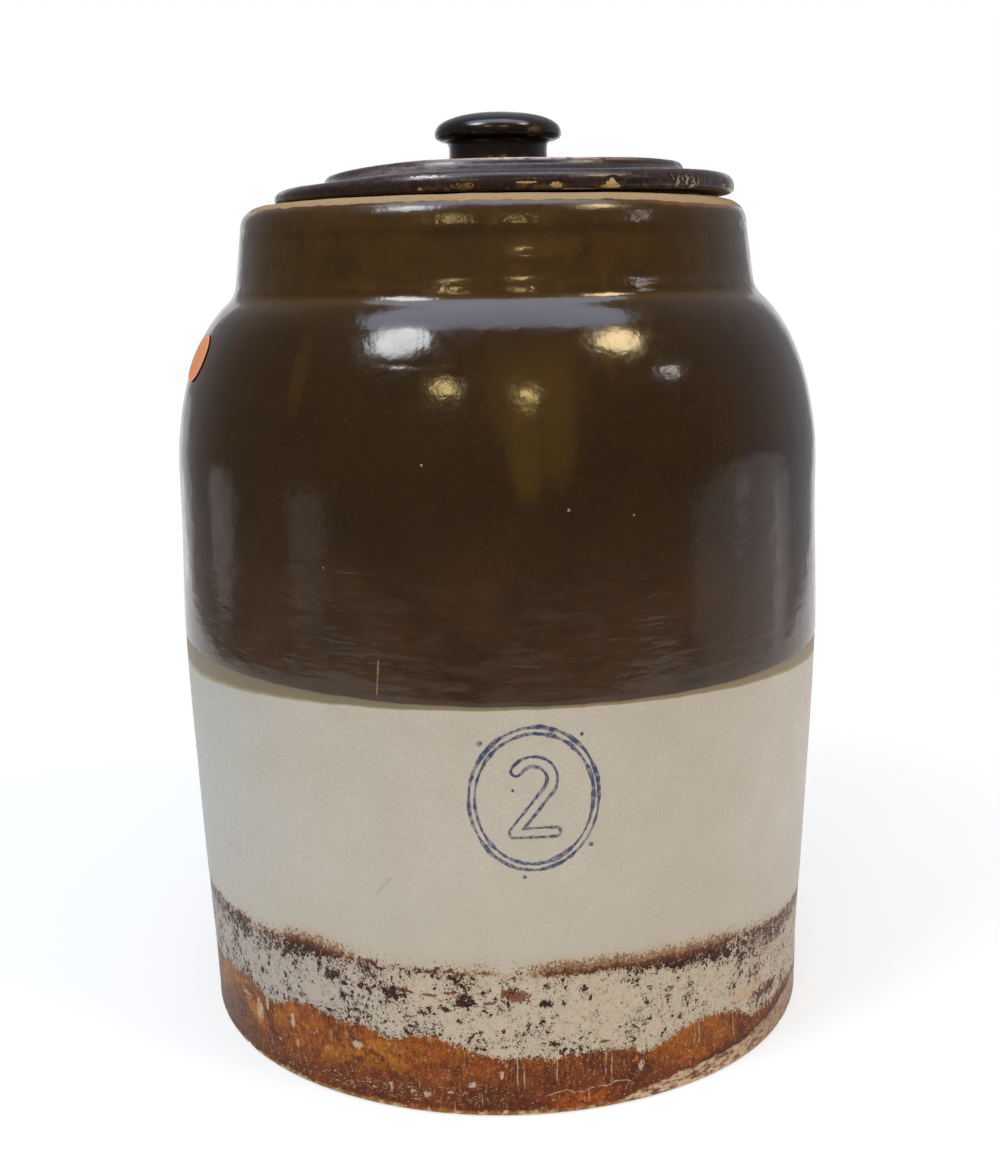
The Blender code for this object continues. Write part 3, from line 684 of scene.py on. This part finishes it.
def worn_marks(place):
    """Pale chips and scratches in the rusty wash, and the crack above the right of its lower edge."""
    mm, z, around = place.mm, place.z, place.around
    ragged = (mm.stretched(1, 1, 0.5).noise(0.9, 79, 4, 0.75) - 0.5) * 6
    marks = around * 0
    for chip in FOOT_CHIPS:
        marks = marks.either(spot_mask(place, *chip, ragged))
    wavy = (mm.stretched(0, 0, 1).noise(5, 80) - 0.5) * 0.5
    for angle, height, half_height in FOOT_SCRATCHES:
        stroke = ((around - angle + wavy).size() - 0.05).rise(0.1, 0) * ((z - height).size() - half_height).rise(1, -1)
        marks = marks.either(stroke * 0.8)
    marks = marks * mm.stretched(1, 1, 0.4).noise(1.2, 90, 3, 0.7).rise(0.34, 0.52) * 0.85
    rubbed = mm.stretched(0.5, 0.5, 1).noise(0.9, 81, 3, 0.7).rise(0.56, 0.64) * z.hump(6.5, 3) * around.hump(-24, 18)
    scratches = mm.stretched(1, 1, 0.12).noise(0.7, 84, 1).rise(0.66, 0.75) * mm.noise(15, 85, 2).rise(0.42, 0.6)
    flecks = crowd(place, 1.1, 86, 0.07)
    crack = (z - around.curve(CRACK) + (mm.noise(1.7, 91, 3) - 0.5) * 2).size()
    crack = crack.rise(0.3, 0.08) * around.rise(5.5, 7) * around.rise(22, 20) * mm.noise(1.5, 41, 3, 0.7).rise(0.36, 0.5)
    return marks.either(rubbed).either(scratches * 0.6).either(flecks * 0.7).either(crack * 0.75)


def rusty_wash(place, grit):
    """Colour of the rusty wash: orange brown with ochre streaks, darker and redder towards the bottom."""
    mm, z, around = place.mm, place.z, place.around
    streaks = mm.stretched(1, 1, 0.35)
    tone = mm.noise(10, 75, 4, 0.7).rise(0.4, 0.6).blend(paint(126, 64, 24), paint(76, 36, 20))
    tone = (around.rise(-10, 4) * around.rise(26, 20) * 0.45).blend(tone, paint(84, 42, 26))
    tone = (around.rise(-44, -60) * 0.55).blend(tone, paint(100, 72, 56))
    tone = (streaks.noise(1.1, 76, 4, 0.75).rise(0.47, 0.66) * 0.6).blend(tone, paint(156, 96, 40))
    ochre = mm.noise(7, 95, 4, 0.7).rise(0.48, 0.62) * z.rise(9, 15) * around.rise(2, -12).either(around.hump(34, 6))
    tone = (ochre * 0.6).blend(tone, paint(176, 112, 36))
    golden = spot_mask(place, 34, 15, 8, 6, (mm.noise(4, 40, 4, 0.7) - 0.5) * 5)
    tone = (golden * 0.3).blend(tone, paint(170, 104, 40))
    low = (z + (mm.noise(6, 87, 4, 0.7) - 0.5) * 22).rise(15, 6)
    tone = (low * 0.6).blend(tone, paint(76, 36, 24))
    glow = (z.hump(4.5, 2.6) * around.hump(12.5, 5)).either(spot_mask(place, 33.5, 9.6, 4, 2.6, grit * 3) * 0.7)
    glow = glow * mm.noise(2.5, 42, 4, 0.7).rise(0.4, 0.6)
    tone = (glow * 0.85).blend(tone, paint(180, 90, 30))
    tone = (streaks.noise(0.8, 77, 3, 0.7).rise(0.5, 0.66) * 0.5).blend(tone, paint(66, 32, 20))
    tone = (crowd(place, 1.4, 99, 0.12) * 0.45).blend(tone, paint(52, 28, 20))
    tone = (crowd(place, 1.2, 78, 0.12) * 0.6).blend(tone, paint(184, 126, 62))
    tone = (worn_marks(place) * 0.8).blend(tone, paint(194, 174, 148))
    edge = (z + (mm.noise(3, 82, 4, 0.7) - 0.5) * 5).rise(2.3, 1)
    edge_tone = mm.noise(2.2, 88, 4, 0.65).rise(0.47, 0.58).blend(paint(144, 98, 42), paint(194, 172, 132))
    tone = (edge * 0.85).blend(tone, edge_tone)
    bare = around.curve(WORN_STRIP) - z + (mm.noise(3, 83, 4, 0.65) - 0.5) * 4
    tan = mm.stretched(0.6, 0.6, 1.6).noise(2, 89, 4, 0.75).rise(0.44, 0.58).blend(paint(194, 168, 140), paint(100, 70, 52))
    tan = (around.rise(40, 56) * 0.5).blend(tan, paint(142, 108, 92))
    strip = bare.rise(-0.3, 0.3) * around.rise(16, 20)
    tone = (bare.hump(-0.7, 0.9) * around.rise(28, 38) * around.rise(100, 80) * 0.8).blend(tone, paint(60, 36, 28))
    return (strip * 0.9).blend(tone, tan)


def rusty_foot(place):
    """Colour of the foot: the cream flakes off in a pale specked band, over a scratched rusty wash."""
    mm, z, around = place.mm, place.z, place.around
    grit = place.grit
    spikes = mm.stretched(1, 1, 0.25).noise(1.3, 92, 4, 0.65) - 0.5
    below = rust_line(place) - z + grit * 4 + spikes * 3
    above = z - wash_line(place) + spikes * 7 + grit * 8
    dark = iron_specks(place, below, above)
    # Painted shade: like the cream above it, the pale band turns greyer towards the left side.
    band = place.x.rise(-20, -70).blend(paint(178, 166, 147), paint(167, 158, 147))
    band = (mm.noise(1.2, 74, 4, 0.75).rise(0.45, 0.65) * 0.4).blend(band, paint(144, 124, 102))
    tone = below.rise(-0.4, 0.4).blend(cream_glaze(place), band)
    fringe = around.curve(FRINGE)
    stain = below.hump(-1, 3.5) * fringe * 0.4
    tone = stain.blend(tone, paint(166, 124, 72))
    ochre = crowd(place, 1, 93, below.rise(-5.5 + spikes * 4, 0.2) * below.rise(3, 1) * fringe)
    tone = (ochre * below.rise(-6, -3) * 0.85).blend(tone, mm.noise(1, 94, 3, 0.7).rise(0.4, 0.6).blend(paint(136, 88, 34), paint(74, 40, 16)))
    tan = spot_mask(place, 47.5, 22.5, 5, 2.6, grit * 5)
    tone = (tan * 0.3).blend(tone, paint(176, 134, 92))
    iron = (below + grit * 5).rise(0.6, 3.2).blend(paint(84, 46, 28), paint(44, 27, 27))
    iron = (grit.rise(0.03, 0.1) * 0.6).blend(iron, paint(112, 66, 34))
    iron = (around.rise(40, 52) * 0.5).blend(iron, paint(98, 58, 46))
    tone = dark.blend(tone, iron)
    red = around * 0
    for patch in RED_PATCHES:
        red = red.either(spot_mask(place, *patch, grit * 5))
    tone = (red * 0.85).blend(tone, grit.rise(-0.1, 0.1).blend(paint(120, 54, 18), paint(48, 22, 14)))
    return above.rise(0.6, -0.6).blend(tone, rusty_wash(place, grit)), below.rise(-2, 2)


def around_dots(u, v):
    """Distance from the stray dots of ink about the capacity mark."""
    nearest = u * 0 + 99
    for dot_u, dot_v, size in INK_DOTS:
        du, dv = u - dot_u, v - dot_v
        nearest = nearest.least((du * du + dv * dv).maths("SQRT") - size)
    return nearest


def capacity_mark(place):
    """A plain open numeral 2 in a double oval ring, stamped in thin uneven blue lines."""
    u = (place.around - 4.7) * math.radians(BELLY_RADIUS - 1)
    v = place.z - 105.5
    uneven = (place.mm.noise(1.1, 96, 3, 0.65) - 0.5) * 0.7
    loaded = place.mm.noise(6, 97, 2).rise(0.35, 0.7) * 0.45
    oval = ((u * u / 18.4 ** 2 + v * v / 21.3 ** 2).maths("SQRT") - 1) * 19.5
    ring = (oval.size() - 0.9).size()
    dots = around_dots(u, v)
    u, v = u + 0.4, v - 0.6
    bowl_v = v - 5.6
    reach = (u * u + bowl_v * bowl_v).maths("SQRT")
    tail = (math.cos(math.radians(235)), math.sin(math.radians(235)))
    open_side = ((u * tail[0] + bowl_v * tail[1]) / reach).maths("GREATER_THAN", 0.09)
    tip_u, tip_v = u + 4.85, bowl_v - 2.8
    tip = (tip_u * tip_u + tip_v * tip_v).maths("SQRT")
    bowl = (reach - 5.6).size() * (1 - open_side) + tip * open_side - 1.55
    slope = segment(u, v, (4.3, 2.0), (-5.6, -10.6)) - 1.5
    base = segment(u, v, (-5.6, -11.0), (6.6, -11.0)) - 1.45
    numeral = bowl.least(slope).least(base).size()
    lines = (ring - loaded * 1.2).least(numeral - loaded * 0.6).least(dots) + uneven
    ink = lines.rise(0.5, 0.2)
    faded = place.mm.noise(1.6, 98, 4, 0.7).rise(0.38, 0.56) * 0.5 + 0.5
    return ink.least(1) * faded * (u.size() + v.size()).rise(60, 50)


def pot_glazes():
    """The pot's coats: bare rim, brown slip, cream glaze, blue mark and the foot's wear, and slip inside."""
    material, place = surface("brown_slip_over_cream")
    mm, z, around = place.mm, place.z, place.around
    inner = z.node("ShaderNodeAttribute", {"attribute_name": "inner"}, {}, "Fac")
    line = glaze_line(place)
    slip = (z - line).rise(-0.2, 0.25)
    band = ((1 - (around - 10).sine(90)) * 10 + 0.9).least(8)
    khaki = (z - line + band) / band
    lower, dull = rusty_foot(place)
    thin = around.rise(-25, 0)
    olive = khaki.rise(-0.05, 0.25).blend(paint(152, 136, 98), thin.blend(paint(110, 96, 66), paint(124, 106, 68)))
    olive = (khaki.rise(0.4, 0.95) * 0.45).blend(olive, paint(88, 74, 48))
    olive = (mm.noise(0.9, 47, 3, 0.7).rise(0.4, 0.65) * 0.35).blend(olive, paint(92, 80, 56))
    olive = (khaki.rise(0.86, 1.02) * 0.8).blend(olive, thin.blend(paint(70, 54, 34), paint(112, 60, 30)))
    colour = (khaki.rise(-0.15, 0.02) * 0.9).blend(lower, olive)
    colour = (capacity_mark(place) * 0.95).blend(colour, paint(20, 38, 82))
    colour = slip.either(inner).blend(colour, brown_slip(place))
    clay = (mm.noise(1.1, 55, 3, 0.7).rise(0.35, 0.7) * 0.5).blend(paint(148, 126, 95), paint(116, 94, 66))
    rim_edge = z - rim_line(place)
    edge = around.rise(22, 48).blend(paint(72, 42, 26), paint(106, 70, 44))
    colour = rim_edge.hump(-0.5, 0.6).blend(colour, edge)
    bare = rim_edge.rise(-0.15, 0.15)
    colour = bare.blend(colour, clay)
    below = (1.4 - z).rise(0, 0.5) * place.radius.rise(106.4, 105.6)
    colour = below.blend(colour, clay)
    gloss = mm.noise(5, 56, 3).rise(0.3, 0.8) * 0.08 + 0.115 + z.rise(269, 274) * 0.06
    lower_gloss = mm.noise(3, 57, 2) * 0.2 + 0.32
    glossy = slip.either(inner)
    roughness = gloss * glossy + lower_gloss * (1 - glossy)
    roughness = roughness.either(bare * 0.8).either(below * 0.8)
    ripple = (mm.noise(7, 58, 4) - 0.5) * 0.17
    dashes = mm.stretched(0.075, 0.075, 0.34).noise(1, 59, 2, 0.45, 0.4) - 0.5
    turning = dashes * (z.rise(134, 142) * z.rise(196, 170) * (around.hump(-2, 40) * 0.17 + 0.03) + 0.02)
    for start, height, slope, end in CREASES:
        off = z - height - (around - start) * slope + (mm.noise(6, 68, 2) - 0.5) * 2
        turning = turning - off.hump(0, 1) * around.rise(start - 1, start + 6) * around.rise(end + 1, end - 6) * 0.06
    grain = (mm.noise(0.7, 65, 2) - 0.5) * 0.03
    turning = turning + (mm.stretched(1, 1, 1.6).noise(3.2, 69, 3, 0.6) - 0.5) * z.rise(268, 273) * 0.1
    rolls = z.hump(268.9, 1.9).either(z.hump(259.9, 1.6) * around.hump(7, 4)).either(z.hump(251.4, 2.1))
    turning = turning + rolls * (mm.noise(8, 48, 3) * 0.5 + 0.15)
    glazed = z.rise(132, 139).either(inner)
    relief = (ripple + turning) * glazed + grain * (1 - glazed * 0.7)
    relief = relief + (mm.noise(1.4, 66, 3, 0.65) - 0.5) * (z.rise(275, 277) * 0.08 + z.rise(56, 46) * 0.12)
    dull = (dull * (1 - glossy)).either(bare)
    return finish_surface(material, colour, roughness, relief, 0.4, dull)


def lid_glaze():
    """Dark purple-brown lid glaze, rubbed along the brim, bare under the lid and at its chips, with a painted grey
    sheen on the step's left and a painted highlight along its top front edge.
    """
    material, place = surface("dark_lid_glaze", LID_CENTRE)
    mm, z = place.mm, place.z
    inner = z.node("ShaderNodeAttribute", {"attribute_name": "inner"}, {}, "Fac")
    colour = mm.noise(9, 101, 4, 0.6).rise(0.35, 0.65).blend(paint(32, 21, 22), paint(46, 31, 28))
    colour = (crowd(place, 1.1, 102, 0.3) * 0.35).blend(colour, paint(78, 58, 52))
    low_edge = z.rise(BODY_HEIGHT + 2.4, BODY_HEIGHT + 0.6)
    ochre = mm.noise(2.4, 103, 4, 0.65).rise(0.5, 0.6) * low_edge * place.around.rise(-30, -10)
    golden = spot_mask(place, -9, 280.1, 2.2, 0.9, (mm.noise(0.8, 110, 3, 0.7) - 0.5) * 9)
    colour = (ochre * 0.55).blend(colour, paint(138, 100, 52))
    golden = golden * mm.noise(0.7, 115, 3, 0.7).rise(0.4, 0.58)
    colour = (golden * 0.6).blend(colour, paint(146, 120, 70))
    # Painted reflection: a pale grey streaked sheen on the left of the step stands for bright surroundings mirrored
    # there.
    painted_step_sheen = (z - BODY_HEIGHT - LID_TOP).hump(-2.6, 2.4) * place.around.hump(-26, 20)
    painted_step_sheen = painted_step_sheen * mm.stretched(1, 1, 4).noise(4, 116, 4, 0.65).rise(0.3, 0.62)
    colour = (painted_step_sheen * 0.55).blend(colour, paint(136, 126, 124))
    glint = spot_mask(place, -17.2, 283.1, 3.4, 0.3, (mm.noise(1, 117, 3, 0.7) - 0.5) * 9)
    colour = (glint * 0.7).blend(colour, paint(196, 186, 172))
    rubbed = mm.stretched(1, 1, 0.5).noise(1.4, 104, 4, 0.7).rise(0.53, 0.6)
    worn_at = place.around.hump(46, 6).either(place.around.hump(31, 3) * 0.25)
    colour = (rubbed * worn_at * z.rise(284.5, 282.5) * 0.75).blend(colour, paint(190, 168, 136))
    bare = chips(place)
    chipped = mm.noise(1.5, 111, 3, 0.7).rise(0.4, 0.62).blend(paint(204, 174, 132), paint(168, 132, 86))
    colour = bare.blend(colour, chipped)
    # Painted highlight: a pale cream line along the step's top front edge stands for light on its rounded edge.
    top_edge = z.rise(BODY_HEIGHT + LID_TOP - 1, BODY_HEIGHT + LID_TOP - 0.2) * place.radius.rise(58, 59.2)
    wear_shader_and_edge_highlight = top_edge * place.around.hump(5, 26) * mm.noise(3, 105, 2).rise(0.3, 0.5)
    colour = (wear_shader_and_edge_highlight * 0.9).blend(colour, paint(206, 184, 166))
    clay = mm.noise(1.2, 106, 3, 0.7).blend(paint(180, 154, 120), paint(136, 112, 84))
    colour = inner.blend(colour, clay)
    roughness = mm.noise(4, 107, 3).rise(0.3, 0.8) * 0.18 + 0.2
    roughness = roughness.either(bare.either(inner) * 0.8)
    relief = (mm.noise(3, 108, 3) - 0.5) * 0.08 + (mm.noise(0.7, 109, 2) - 0.5) * 0.03
    return finish_surface(material, colour, roughness, relief, 0.35)


def knob_glaze():
    """Glossy near-black glaze with a rubbed ochre edge and a chip."""
    material, place = surface("black_knob_glaze", KNOB_CENTRE)
    mm, z = place.mm, place.z - BODY_HEIGHT - LID_TOP
    colour = mm.noise(7, 111, 3).rise(0.35, 0.7).blend(paint(18, 11, 8), paint(36, 22, 15))
    rubbed = z.hump(10.6, 0.35) * mm.noise(3.5, 112, 3, 0.65).rise(0.4, 0.6)
    colour = (rubbed * 0.5).blend(colour, paint(104, 78, 46))
    chip = knob_chip(place)
    colour = (chip * 0.65).blend(colour, paint(112, 92, 66))
    roughness = (mm.noise(3, 113, 2) * 0.1 + 0.17).either(chip * 0.5)
    relief = (mm.noise(4, 114, 2) - 0.5) * 0.05
    return finish_surface(material, colour, roughness, relief)


def sticker_paper():
    """Matte orange paper, paler and rubbed towards its edge."""
    material, place = surface("orange_paper")
    mm = place.mm
    edge = mm.node("ShaderNodeAttribute", {"attribute_name": "rim"}, {}, "Fac")
    colour = (mm.noise(2, 121, 4).rise(0.3, 0.7) * 0.4).blend(paint(214, 140, 94), paint(198, 124, 80))
    colour = (edge.rise(0.86, 0.97) * 0.6).blend(colour, paint(216, 162, 122))
    relief = (mm.noise(0.3, 122, 2) - 0.5) * 0.02
    return finish_surface(material, colour, mm.noise(1, 123) * 0.1 + 0.7, relief, 0.3)


def paper_sticker():
    """The round sticker: two sheets of rings over the shoulder, joined at the edge, a little lifted on one side."""
    climb = math.radians(STICKER_CLIMB)
    rings, columns = 14, 72
    points, faces, rim = [], [], []
    for side, off in enumerate((STICKER_LIFT + STICKER_PAPER, STICKER_LIFT)):
        for i in range(rings + 1):
            for k in range(columns):
                turn = 2 * math.pi * k / columns
                out = STICKER_RADIUS * i / rings
                across, up = out * math.cos(turn), out * math.sin(turn)
                rise = climb + up / SHOULDER_RISE
                angle = math.radians(STICKER_ANGLE) + across / (SHOULDER_CENTRE + SHOULDER_REACH * math.cos(climb))
                normal = Vector((math.cos(rise) / SHOULDER_REACH, math.sin(rise) / SHOULDER_RISE)).normalized()
                curl = 0.25 * (i / rings) ** 3 * max(0, math.cos(turn + 2.2)) ** 2
                radius = SHOULDER_CENTRE + SHOULDER_REACH * math.cos(rise) + normal.x * (off + curl)
                height = SHOULDER_START + SHOULDER_RISE * math.sin(rise) + normal.y * (off + curl)
                points.append((radius * math.sin(angle) / METRE, -radius * math.cos(angle) / METRE, height / METRE))
                rim.append(i / rings)
    layer = (rings + 1) * columns
    for i in range(rings):
        for k in range(columns):
            a, b = i * columns + k, i * columns + (k + 1) % columns
            faces.append((a, a + columns, b + columns, b))
            faces.append((layer + a, layer + b, layer + b + columns, layer + a + columns))
    last = rings * columns
    for k in range(columns):
        a, b = last + k, last + (k + 1) % columns
        faces.append((a, layer + a, layer + b, b))
    mesh = bpy.data.meshes.new("paper_sticker")
    mesh.from_pydata(points, [], faces)
    attribute = mesh.attributes.new("rim", "FLOAT", "POINT")
    attribute.data.foreach_set("value", rim)
    import bmesh
    shape = bmesh.new()
    shape.from_mesh(mesh)
    bmesh.ops.remove_doubles(shape, verts=shape.verts, dist=MERGE / METRE)
    bmesh.ops.recalc_face_normals(shape, faces=shape.faces)
    shape.to_mesh(mesh)
    shape.free()
    mesh.shade_smooth()
    mesh.set_sharp_from_angle(angle=math.radians(40))
    mesh.materials.append(sticker_paper())
    piece = bpy.data.objects.new("paper_sticker", mesh)
    bpy.context.scene.collection.objects.link(piece)
    return piece


def photo_camera():
    """The camera that took the photograph: half a metre off, level with the neck, looking 12.6 degrees down."""
    pitch, yaw, roll = 0.22, 0.00022, 0.01782
    level = Vector((math.cos(yaw), -math.sin(yaw), 0))
    ahead = Vector((math.sin(yaw), math.cos(yaw), 0))
    forward = ahead * math.cos(pitch) - Vector((0, 0, 1)) * math.sin(pitch)
    upright = ahead * math.sin(pitch) + Vector((0, 0, 1)) * math.cos(pitch)
    right = level * math.cos(roll) - upright * math.sin(roll)
    up = level * math.sin(roll) + upright * math.cos(roll)
    camera = bpy.data.objects.new("photo_camera", bpy.data.cameras.new("photo_camera"))
    camera.data.sensor_width = 36
    camera.data.lens = 43.08
    turn = Matrix((right, up, -forward)).transposed().to_4x4()
    camera.matrix_world = Matrix.Translation((0, -0.4963, 0.25569)) @ turn
    bpy.context.scene.collection.objects.link(camera)
    bpy.context.scene.camera = camera


def lamp(name, around, height, distance, width, tall, colour, watts, mirrored=True):
    """A soft panel that faces the crock from that angle round it and above the floor."""
    light = bpy.data.lights.new(name, "AREA")
    light.shape = "ELLIPSE"
    light.size, light.size_y, light.energy = width, tall, watts
    light.color = colour
    panel = bpy.data.objects.new(name, light)
    turn, rise = math.radians(around), math.radians(height)
    away = Vector((math.sin(turn) * math.cos(rise), -math.cos(turn) * math.cos(rise), math.sin(rise)))
    middle = Vector((0, 0, 0.2))
    panel.location = middle + away * distance
    panel.rotation_euler = away.to_track_quat("Z", "Y").to_euler()
    panel.visible_glossy = mirrored
    panel.visible_camera = False
    bpy.context.scene.collection.objects.link(panel)


def stage_surface(name):
    """White paper that shows the crock's shadow and lights it from below."""
    material = bpy.data.materials.new(name)
    material.use_nodes = True
    tree = material.node_tree
    spot = Field(tree).node("ShaderNodeTexCoord", output="Object")
    parts = spot.node("ShaderNodeSeparateXYZ", {}, {0: spot})
    near = (parts * parts + parts.other("Y") * parts.other("Y")).maths("SQRT")
    rays = spot.node("ShaderNodeLightPath", output="Is Camera Ray")
    seen = rays.either(rays.other("Is Glossy Ray")).either(rays.other("Is Transmission Ray"))
    glow = spot.node("ShaderNodeEmission", {}, {"Color": (1, 1, 1, 1), "Strength": 1})
    matte = spot.node("ShaderNodeBsdfDiffuse", {}, {"Color": paint(240, 240, 240)})
    lit_share = near.rise(0.45, 0.25) * 0.4
    mixed = spot.node("ShaderNodeMixShader", {}, {0: seen * (1 - lit_share), 1: matte, 2: glow})
    tree.links.new(mixed.socket, tree.nodes["Material Output"].inputs["Surface"])
    return material


def stage():
    """A sheet of white paper that the crock stands on and that curves up behind it."""
    line = [(-0.5, 0), (0, 0), (0.7, 0)] + arc((0.75, 0.2), (0.2, 0.2), -80, 0, 10) + [(0.95, 0.62)]
    points = [(x, y, z) for y, z in line for x in (-0.6, 0.6)]
    faces = [(2 * i, 2 * i + 1, 2 * i + 3, 2 * i + 2) for i in range(len(line) - 1)]
    mesh = bpy.data.meshes.new("paper_sweep")
    mesh.from_pydata(points, [], faces)
    mesh.shade_smooth()
    mesh.materials.append(stage_surface("white_paper"))
    sweep = bpy.data.objects.new("paper_sweep", mesh)
    bpy.context.scene.collection.objects.link(sweep)


def room_light():
    """A dim room, a little brighter behind the crock, whose walls look white beyond the paper."""
    world = bpy.context.scene.world or bpy.data.worlds.new("room")
    bpy.context.scene.world = world
    world.use_nodes = True
    tree = world.node_tree
    way = Field(tree).node("ShaderNodeTexCoord", output="Generated")
    parts = way.node("ShaderNodeSeparateXYZ", {}, {0: way})
    behind = (parts * 0.3 + parts.other("Y")).rise(-0.1, 0.9)
    light = behind.blend(paint(112, 108, 106), paint(160, 164, 172))
    light = way.node("ShaderNodeLightPath", output="Is Camera Ray").blend(light, (1, 1, 1, 1))
    tree.links.new(light.socket, tree.nodes["Background"].inputs["Color"])


pot = turned_piece("stoneware_pot", pot_profile(), 350, 0, pot_relief, pot_glazes())
lid = turned_piece("glazed_lid", lid_profile(), 480, LID_CENTRE, lid_relief, lid_glaze())
knob = turned_piece("glazed_knob", knob_profile(), 240, KNOB_CENTRE, knob_relief, knob_glaze())
sticker = paper_sticker()
for piece, node, body, finish in ((pot, "crock_body", "crock", "brown_and_cream_glaze"),
                                  (lid, "lid_disc", "lid", "dark_lid_glaze"),
                                  (knob, "lid_knob", "lid", "black_knob_glaze"),
                                  (sticker, "price_sticker", "crock", "orange_paper")):
    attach(piece, body)
    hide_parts(node)

stage()
room_light()
lamp("window_panel", -49, 52.5, 2, 0.56, 0.64, (0.92, 0.96, 1), 18.5)
lamp("warm_panel", 58, 47.5, 2, 0.48, 0.4, (1, 0.77, 0.42), 12.7)
lamp("left_bulb", -19, 31, 2, 0.26, 0.18, (1, 0.75, 0.33), 2.3)
lamp("right_bulb", 11.3, 28.4, 2, 0.135, 0.125, (1, 0.75, 0.31), 1.9)
lamp("far_bulb", 69, 29, 2, 0.26, 0.08, (1, 0.97, 0.92), 0.85)
lamp("ceiling_panel", 0, 82.5, 1.9, 2.6, 1.15, (0.64, 0.76, 1), 33)
lamp("side_card", 89.5, -10.8, 0.8, 0.744, 0.275, (0.96, 0.96, 1), 0.21)
lamp("left_card", -140, -8, 0.85, 0.2, 0.3, (1, 0.97, 0.86), 0.07)
lamp("left_sheet", -64, -8, 0.85, 0.22, 0.15, (1, 0.95, 0.86), 0.04)
lamp("left_frame", -105, -8.2, 0.85, 0.23, 0.16, (0.97, 0.97, 1), 0.045)
lamp("side_strip", 104, -13, 0.6, 0.03, 0.12, (0.8, 0.86, 1), 0.007)
lamp("side_panel", 86.5, -6.6, 0.95, 0.09, 0.08, (0.75, 0.85, 1), 0.014)
lamp("front_fill", 0, 25, 2.5, 2.5, 2, (0.94, 0.98, 1), 17, False)
photo_camera()
bpy.context.scene.view_settings.view_transform = "Standard"
